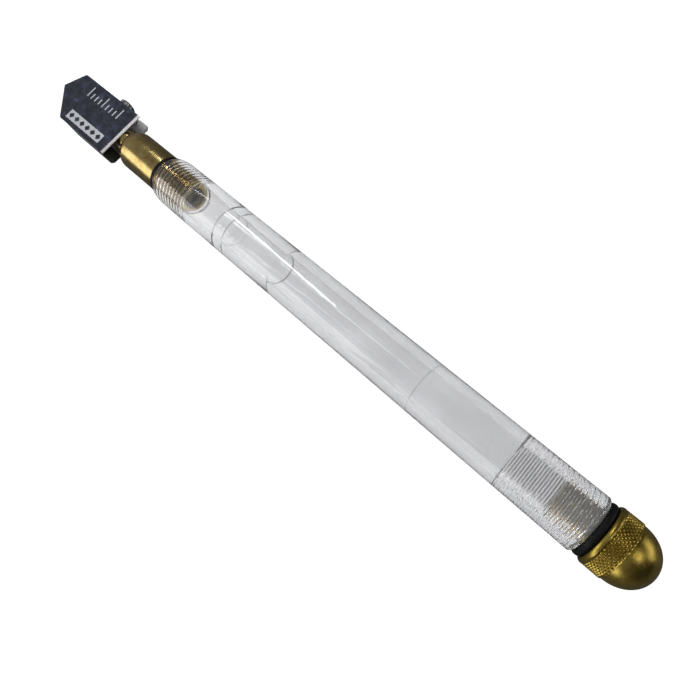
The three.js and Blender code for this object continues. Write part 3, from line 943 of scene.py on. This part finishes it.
def head_body():
    main = prism(head_outline(BODY_INSET, BODY_REAR_X), BODY_LOW.z, BODY_HIGH.z)
    taper = prism(
        [
            (NOSE_TAPER_X, BODY_LOW.z),
            (PLATE_LOW.x - NOSE_CUT_REACH, BODY_LOW.z),
            (PLATE_LOW.x - NOSE_CUT_REACH, BODY_LOW.z + NOSE_TAPER_RISE * 2),
            (PLATE_LOW.x, BODY_LOW.z + NOSE_TAPER_RISE),
        ],
        -PLATE_HIGH.y - CUT_MARGIN,
        PLATE_HIGH.y + CUT_MARGIN,
    )
    moved(taper, Matrix.Rotation(math.pi / 2, 4, "X"))
    slot = block(
        (WHEEL_LOW.x - CUT_MARGIN, -PLATE_HIGH.y - CUT_MARGIN, -SLOT_HALF_HEIGHT),
        (SLOT_REAR_X, PLATE_HIGH.y + CUT_MARGIN, SLOT_HALF_HEIGHT),
    )
    bore = rod(BODY_BORE_END_X, BODY_REAR_X + CUT_MARGIN, BORE_RADIUS, BORE_SIDES)
    channel_ends = (SLOT_REAR_X - CUT_MARGIN, BODY_BORE_END_X + CUT_MARGIN)
    wick_channel = rod(*channel_ends, WICK_CHANNEL_RADIUS, HOLE_SIDES)
    axle_drill = rod(BODY_LOW.z - CUT_MARGIN, BODY_HIGH.z + CUT_MARGIN, AXLE_HOLE_RADIUS)
    axle_hole = upright(axle_drill, AXLE_X, TIP_Y)
    screw_hole = across(rod(0, BODY_HIGH.y + CUT_MARGIN, SCREW_HOLE_RADIUS, PIN_SIDES), POCKET_X)
    cuts = (bore, wick_channel, slot, taper, axle_hole, screw_hole)
    # The +Y prong takes a lighter metal and the -Y prong a near-black one: painted highlight and painted
    # shade on two like prongs of the steel body.
    steps = [("UNION", fork_prong(1), 1), ("UNION", fork_prong(-1), 2)]
    steps += [("DIFFERENCE", tool, 0) for tool in cuts]
    made = piece("head_body", combined(main, steps), [STEEL, PAINTED_HIGHLIGHT_METAL, PAINTED_SHADE_METAL], "head")
    bevelled(made, BODY_EDGE)


WHEEL_HOLE_RADIUS = 0.66
WHEEL_HUB_RADIUS = 1.0
WHEEL_WEB_RADIUS = 1.1
WHEEL_WEB_SHARE = 0.8
WHEEL_EDGE_HEIGHT = 0.55


def cutting_wheel():
    half = WHEEL_HIGH.z
    web = half * WHEEL_WEB_SHARE
    radius = (WHEEL_HIGH.x - WHEEL_LOW.x) / 2
    side = [
        (half, WHEEL_HOLE_RADIUS, 0.04),
        (half, WHEEL_HUB_RADIUS, 0.04),
        (web, WHEEL_WEB_RADIUS, 0.04),
        (web, radius - WHEEL_EDGE_HEIGHT, 0.05),
    ]
    other_side = [(-x, height, fillet) for x, height, fillet in side]
    wheel = turned([*other_side, (0, radius, 0), *side[::-1]], True, FINE_SIDES)
    upright(wheel, (WHEEL_LOW.x + WHEEL_HIGH.x) / 2, TIP_Y)
    piece("cutting_wheel", wheel, [CARBIDE], "wheel")


def wheel_axle():
    radius = (AXLE_HIGH.x - AXLE_LOW.x) / 2
    corners = [
        (AXLE_LOW.z, 0, 0),
        (AXLE_LOW.z, radius, 0.15),
        (AXLE_HIGH.z, radius, 0.15),
        (AXLE_HIGH.z, 0, 0),
    ]
    pin = upright(turned(corners, sides=PIN_SIDES), AXLE_X, TIP_Y)
    piece("wheel_axle", pin, [STEEL], "head")


# Ripples of the felt, as (height, waves round the wick, turn of the waves per millimetre).
WICK_RIPPLES = ((0.02, 5, 3.1), (0.015, 11, -4.3))
WICK_GAP = 0.035
WICK_STEPS = 40
WICK_END_SHARE = 0.8


def oil_wick():
    low, high = span("oil_wick")

    def row(x, radius):
        def point(angle):
            ripple = sum(height * math.sin(waves * angle + turn * x) for height, waves, turn in WICK_RIPPLES)
            return x, max(radius - WICK_GAP + ripple, 0) if radius else 0

        return point

    stations = [low.x + (high.x - low.x) * i / WICK_STEPS for i in range(1, WICK_STEPS)]
    rows = [row(low.x, 0), row(low.x, high.z * WICK_END_SHARE)]
    rows += [row(x, high.z) for x in stations]
    rows += [row(high.x, high.z * WICK_END_SHARE), row(high.x, 0)]
    piece("oil_wick", revolve(rows, PIN_SIDES), [FELT], "head")


SCREW_TEETH = 26
SCREW_SIDES = SCREW_TEETH * 6
SCREW_TOOTH_DEPTH = 0.12
SCREW_SHANK_RADIUS = 1.5
SCREW_TIP_RADIUS = 1.0
SCREW_HEAD_RADIUS = 2.1
SCREW_HEAD_HEIGHT = 1.9
SCREW_TIP_LENGTH = 1.2
SCREW_SLOT_WIDTH = 0.6
SCREW_SLOT_DEPTH = 0.7
SCREW_PITCH = 0.5
SCREW_ROOT_RADIUS = SCREW_SHANK_RADIUS - 0.22
SCREW_THREAD = 0.2
SCREW_LEAD = 0.2
SCREW_RELIEF = 0.3
SCREW_NECK_RADIUS = SCREW_SHANK_RADIUS - 0.1
SCREW_RIM_HEIGHT = 0.2
SCREW_CROWN_HEIGHT = 0.5
SCREW_CROWN_TOP = 0.1
SCREW_CROWN_SHARE = 0.62


def lock_screw():
    head_y = SCREW_HIGH.y - SCREW_HEAD_HEIGHT
    root_y = SCREW_LOW.y + SCREW_TIP_LENGTH
    tip = [
        (SCREW_LOW.y, 0, 0),
        (SCREW_LOW.y, SCREW_TIP_RADIUS, 0.15),
        (root_y, SCREW_TIP_RADIUS, 0),
        (root_y + SCREW_LEAD, SCREW_ROOT_RADIUS, 0),
    ]
    head = [
        (head_y, SCREW_NECK_RADIUS, 0),
        (head_y, SCREW_HEAD_RADIUS, 0.15),
        (head_y + SCREW_RIM_HEIGHT, SCREW_HEAD_RADIUS, 0),
        (SCREW_HIGH.y - SCREW_CROWN_HEIGHT, SCREW_HEAD_RADIUS, 0.2),
        (SCREW_HIGH.y - SCREW_CROWN_TOP, SCREW_HEAD_RADIUS * SCREW_CROWN_SHARE, 0.3),
        (SCREW_HIGH.y, 0, 0),
    ]

    def serrated(x, radius):
        def point(angle):
            tooth = SCREW_TOOTH_DEPTH * (0.5 - 0.5 * math.cos(SCREW_TEETH * angle))
            return x, radius - (tooth if radius > SCREW_HEAD_RADIUS - 0.1 else 0)

        return point

    rows = ring_rows(filleted(tip))
    thread = (root_y + SCREW_LEAD, head_y - SCREW_RELIEF, SCREW_ROOT_RADIUS, SCREW_THREAD, SCREW_PITCH)
    rows += thread_rows(*thread)
    rows += [serrated(x, radius) for x, radius in filleted(head)]
    slot = block(
        (SCREW_HIGH.y - SCREW_SLOT_DEPTH, -SCREW_HEAD_RADIUS - CUT_MARGIN, -SCREW_SLOT_WIDTH / 2),
        (SCREW_HIGH.y + CUT_MARGIN, SCREW_HEAD_RADIUS + CUT_MARGIN, SCREW_SLOT_WIDTH / 2),
    )
    screw = combined(revolve(rows, SCREW_SIDES), [("DIFFERENCE", slot, 0)])
    centre_x = (SCREW_LOW.x + SCREW_HIGH.x) / 2
    piece("lock_screw", across(screw, centre_x), [DARK_STEEL], "screw")


# ---- Cap ---------------------------------------------------------------------

REAR_SEAL_THICKNESS = 1.6
CAP_FRONT_X = TUBE_LENGTH + REAR_SEAL_THICKNESS
CAP_SHARP_ANGLE = math.radians(50)
CAP_STUD_LEAD = 0.4
CAP_STUD_LEAD_DROP = 0.3
CAP_STUD_RELIEF = 0.2
CAP_EDGE_HEIGHT = 0.35
CAP_EDGE_LENGTH = 0.45
CAP_LAND = 1.0
KNURL_LENGTH = 3.35
KNURL_TEETH = 44
KNURL_ROWS = 4
KNURL_STEPS = 6
KNURL_DEPTH = 0.34
KNURL_STEEPNESS = 1.35
KNURL_EDGE_STEPS = 2
KNURL_EDGE_DROP = 0.04
KNURL_GAP = 0.12
DOME_RADIUS = 5.95
DOME_STEPS = 24
DOME_START = 0.3
DOME_START_DROP = 0.02
DOME_FULLNESS = 0.95
CAP_SIDES = KNURL_TEETH * KNURL_STEPS


def triangle_wave(value):
    return 1 - abs(2 * (value % 1.0) - 1)


def knurl_rows(start, end):
    """Rows of a diamond knurl: two crossing sets of helical grooves between pyramids."""
    count = KNURL_ROWS * KNURL_STEPS

    def row(step):
        x = start + (end - start) * step / count
        shift = step / KNURL_STEPS
        edge = smoothstep(min(step, count - step) / KNURL_EDGE_STEPS)

        def point(angle):
            turn = KNURL_TEETH * angle / (2 * math.pi)
            height = min(triangle_wave(turn + shift), triangle_wave(turn - shift))
            height = min(height * KNURL_STEEPNESS, 1.0)
            return x, CAP_RADIUS - KNURL_DEPTH * (1 - height) * edge - KNURL_EDGE_DROP * (1 - edge)

        return point

    return [row(step) for step in range(count + 1)]


def end_cap():
    knurl_x = CAP_FRONT_X + CAP_LAND
    dome_x = knurl_x + KNURL_LENGTH
    stud = [
        (CAP_STUD_X, 0, 0),
        (CAP_STUD_X, STUD_ROOT_RADIUS - CAP_STUD_LEAD_DROP, 0.15),
        (CAP_STUD_X + CAP_STUD_LEAD, STUD_ROOT_RADIUS, 0),
    ]
    land = [
        (CAP_FRONT_X - CAP_STUD_RELIEF, STUD_ROOT_RADIUS, 0),
        (CAP_FRONT_X, STUD_ROOT_RADIUS + CAP_STUD_RELIEF, 0.05),
        (CAP_FRONT_X, CAP_RADIUS - CAP_EDGE_HEIGHT, 0.2),
        (CAP_FRONT_X + CAP_EDGE_LENGTH, CAP_RADIUS, 0.25),
        (knurl_x - KNURL_GAP, CAP_RADIUS, 0.05),
    ]
    dome = []
    for step in range(DOME_STEPS + 1):
        angle = step / DOME_STEPS * math.pi / 2
        x = dome_x + DOME_START + (CAP_END_X - dome_x - DOME_START) * math.sin(angle)
        dome.append((x, DOME_RADIUS * math.cos(angle) ** DOME_FULLNESS if step < DOME_STEPS else 0))
    rows = ring_rows(filleted(stud))
    thread = (CAP_STUD_X + CAP_STUD_LEAD, CAP_FRONT_X - CAP_STUD_RELIEF, STUD_ROOT_RADIUS, STUD_THREAD)
    rows += thread_rows(*thread)
    rows += ring_rows(filleted(land))
    rows += knurl_rows(knurl_x, dome_x)
    rows += ring_rows([(dome_x + KNURL_GAP, DOME_RADIUS - DOME_START_DROP), *dome])
    piece("end_cap", revolve(rows, CAP_SIDES), [CAP_BRASS], "cap", CAP_SHARP_ANGLE)


handle_tube()
seal("front_seal_ring", "handle", 0.12)
spindle()
seal("stem_seal_ring", "handle", 0.3)
seal("valve_seal_ring", "handle", 0.2)
valve_stem()
valve_head()
valve_spring()
spring_retainer()
guide_plate()
head_body()
wheel_axle()
cutting_wheel()
oil_wick()
lock_screw()
seal("rear_seal_ring", "cap_seal", 0.75)
end_cap()
for key in MATERIAL_KEYS:
    bpy.data.materials.remove(key)


# ---- Room --------------------------------------------------------------------

# Sizes and places in metres, angles in degrees, the lens and its sensor in millimetres. The
# floor shines for the rays that see it directly or through the tube, and stays dark in the
# metal's reflections.
FLOOR_HALF_SIZE = 1.5
FLOOR_ALBEDO = (0.20, 0.20, 0.202)
FLOOR_LIFT = 1.0
CAMERA_PLACE = Vector((0.0601, -0.0165, 0.1142))
CAMERA_AZIMUTH = 72.9
CAMERA_ELEVATION = 69.6
CAMERA_ROLL = -31.6
CAMERA_LENS = 28.24
CAMERA_SENSOR = 36
CAMERA_CLIP = (0.005, 20)

# The world fades from its bright to its dark strength towards one side and towards the rear.
WORLD_STRENGTH = (0.42, 0.05)
DARK_SIDE = (0.50, 0.866, 0)
REAR_RANGE = (-0.1, 0.8)
REAR_DIMMING = 0.2

# Lamps, as name: (place, size, power). All of them face the origin.
SOFTBOXES = {
    "window": ((-0.34, -0.42, 0.20), (0.50, 0.30), 1.05),
    "side": ((0.10, -0.50, 0.14), (0.35, 0.22), 0.42),
    "low_rear": ((0.38, 0.36, 0.13), (0.35, 0.22), 0.40),
    "top_rear": ((0.43, 0.17, 0.62), (0.30, 0.30), 0.65),
    "ceiling_lamp": ((-0.32, 0.26, 0.50), (0.05, 0.29), 0.9),
}


def floor():
    mesh = bmesh.new()
    corners = [(-1, -1), (1, -1), (1, 1), (-1, 1)]
    mesh.faces.new([mesh.verts.new((x * FLOOR_HALF_SIZE, y * FLOOR_HALF_SIZE, 0)) for x, y in corners])
    data = bpy.data.meshes.new("floor")
    mesh.to_mesh(data)
    mesh.free()
    look = Look("floor", Roughness=0.9, Specular_IOR_Level=0.1)
    look.shader.inputs["Base Color"].default_value = (*FLOOR_ALBEDO, 1)
    look.shader.inputs["Emission Color"].default_value = (1, 1, 1, 1)
    path = look.node("ShaderNodeLightPath")
    seen = look.node("ShaderNodeMath", operation="MAXIMUM")
    look.link(path.outputs["Is Camera Ray"], seen.inputs[0])
    look.link(path.outputs["Is Transmission Ray"], seen.inputs[1])
    lift = look.node("ShaderNodeMath", operation="MULTIPLY")
    lift.inputs[1].default_value = FLOOR_LIFT
    look.link(seen.outputs[0], lift.inputs[0])
    look.drive("Emission Strength", lift.outputs[0])
    data.materials.append(look.material)
    made = bpy.data.objects.new("floor", data)
    bpy.context.scene.collection.objects.link(made)


def softbox(name, place, size, power):
    data = bpy.data.lights.new(name, "AREA")
    data.shape = "RECTANGLE"
    data.size, data.size_y = size
    data.energy = power
    made = bpy.data.objects.new(name, data)
    made.location = place
    made.rotation_mode = "QUATERNION"
    made.rotation_quaternion = (-Vector(place)).to_track_quat("-Z", "Y")
    bpy.context.scene.collection.objects.link(made)


def world():
    made = bpy.data.worlds.new("studio")
    made.use_nodes = True
    nodes, links = made.node_tree.nodes, made.node_tree.links
    direction = nodes.new("ShaderNodeTexCoord")
    along = nodes.new("ShaderNodeVectorMath")
    along.operation = "DOT_PRODUCT"
    along.inputs[1].default_value = DARK_SIDE
    side = nodes.new("ShaderNodeMapRange")
    side.inputs["From Min"].default_value = -1
    side.inputs["To Min"].default_value = WORLD_STRENGTH[0]
    side.inputs["To Max"].default_value = WORLD_STRENGTH[1]
    side.interpolation_type = "SMOOTHSTEP"
    split = nodes.new("ShaderNodeSeparateXYZ")
    rear = nodes.new("ShaderNodeMapRange")
    rear.inputs["From Min"].default_value = REAR_RANGE[0]
    rear.inputs["From Max"].default_value = REAR_RANGE[1]
    rear.inputs["To Min"].default_value = 1.0
    rear.inputs["To Max"].default_value = REAR_DIMMING
    both = nodes.new("ShaderNodeMath")
    both.operation = "MULTIPLY"
    links.new(direction.outputs["Generated"], along.inputs[0])
    links.new(along.outputs["Value"], side.inputs["Value"])
    links.new(direction.outputs["Generated"], split.inputs[0])
    links.new(split.outputs["X"], rear.inputs["Value"])
    links.new(side.outputs[0], both.inputs[0])
    links.new(rear.outputs[0], both.inputs[1])
    links.new(both.outputs[0], nodes["Background"].inputs["Strength"])
    nodes["Background"].inputs["Color"].default_value = (1, 1, 1, 1)
    bpy.context.scene.world = made


def camera():
    azimuth, elevation = math.radians(CAMERA_AZIMUTH), math.radians(CAMERA_ELEVATION)
    back = Vector(
        (
            math.sin(azimuth) * math.cos(elevation),
            -math.cos(azimuth) * math.cos(elevation),
            math.sin(elevation),
        )
    )
    level = Vector((math.cos(azimuth), math.sin(azimuth), 0))
    right = Matrix.Rotation(math.radians(CAMERA_ROLL), 3, back) @ level
    up = back.cross(right)
    data = bpy.data.cameras.new("camera")
    data.lens = CAMERA_LENS
    data.sensor_width = CAMERA_SENSOR
    data.clip_start = CAMERA_CLIP[0]
    data.clip_end = CAMERA_CLIP[1]
    made = bpy.data.objects.new("camera", data)
    turn = Matrix((right, up, back)).transposed().to_4x4()
    made.matrix_world = Matrix.Translation(CAMERA_PLACE) @ turn
    bpy.context.scene.collection.objects.link(made)
    bpy.context.scene.camera = made


floor()
for lamp, (place, size, power) in SOFTBOXES.items():
    softbox(lamp, place, size, power)
world()
camera()
bpy.context.scene.view_settings.view_transform = "Standard"
